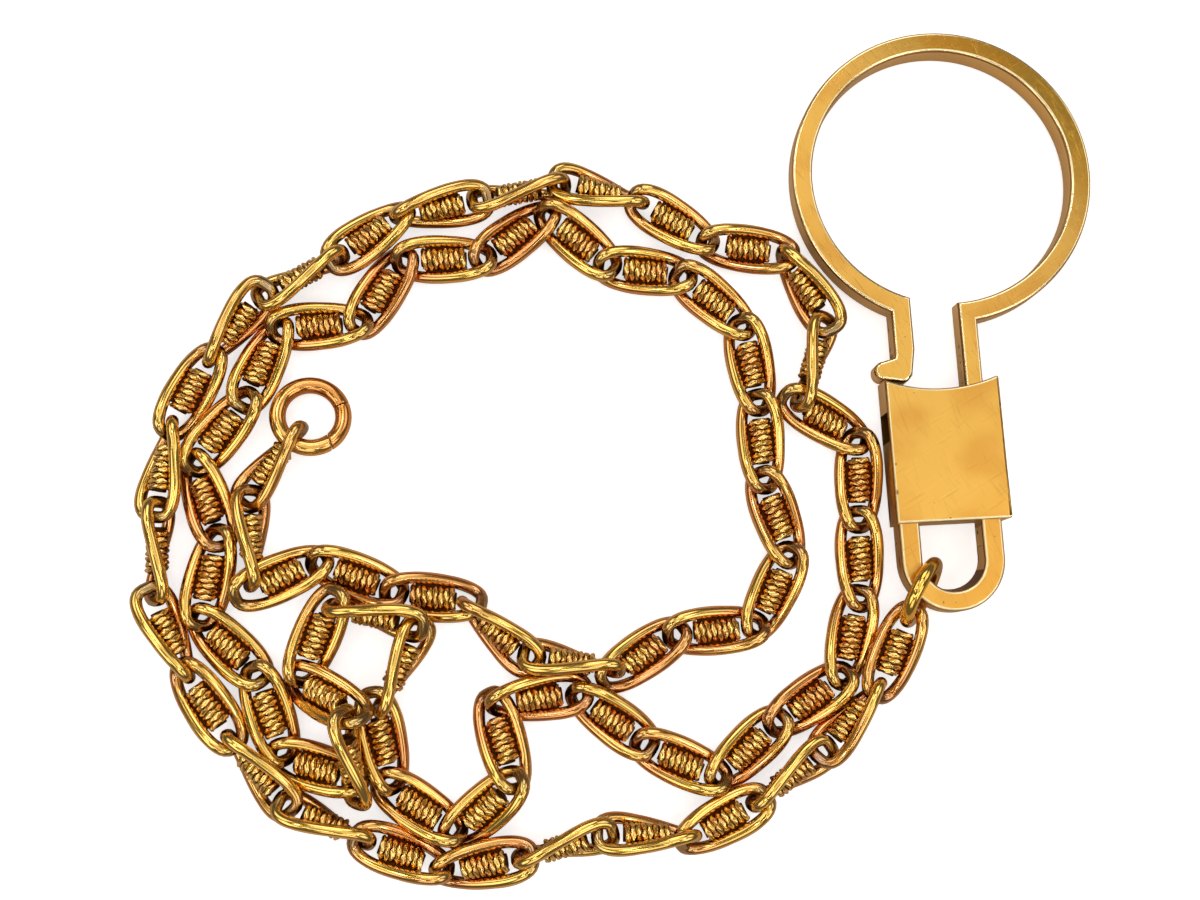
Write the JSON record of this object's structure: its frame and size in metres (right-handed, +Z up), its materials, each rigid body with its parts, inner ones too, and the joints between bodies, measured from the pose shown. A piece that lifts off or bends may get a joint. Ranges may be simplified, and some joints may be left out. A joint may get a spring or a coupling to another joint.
{
  "type": "watch chain",
  "caption": "Gold watch chain of twisted links with coiled barrels, a snap-in key ring lock on a bail at one end and a hinged spring ring at the other.",
  "frame": {"origin": "on the surface under the middle of the whole piece's bounding box", "axes": "+X across the picture from the loose end to the lock, the longest way; +Y away from the viewer; +Z up from the surface, the shortest way"},
  "size_m": [0.0949, 0.0855, 0.0077],
  "materials": {
    "key_ring": "polished, worn",
    "lock_body": "satin, scratched",
    "jump_ring": "polished, worn",
    "chain_a": "polished wire, granular coil",
    "chain_b": "polished wire, granular coil",
    "spring_ring": "polished, worn",
    "spring_ring_gate": "polished, worn"
  },
  "bodies": {
    "chain": {"lock_body": "lock_body", "jump_ring": "jump_ring", "chain_a": "chain_a", "chain_b": "chain_b", "spring_ring": "spring_ring"},
    "key_ring": {"key_ring": "key_ring"},
    "gate": {"spring_ring_gate": "spring_ring_gate"}
  },
  "joints": [
    {"name": "key_ring_slide", "type": "slide", "parent": "chain", "child": "key_ring", "axis": [0.0558, -0.9978, 0.0346], "range_m": [0, 0.0055], "deforming": ["key_ring"]},
    {"name": "gate_hinge", "type": "hinge", "parent": "chain", "child": "gate", "pos_m": [-0.02719, 0.00444, 0.00078], "axis": [0.147, 0.147, 0.9781], "range_deg": [0, 60]}
  ]
}
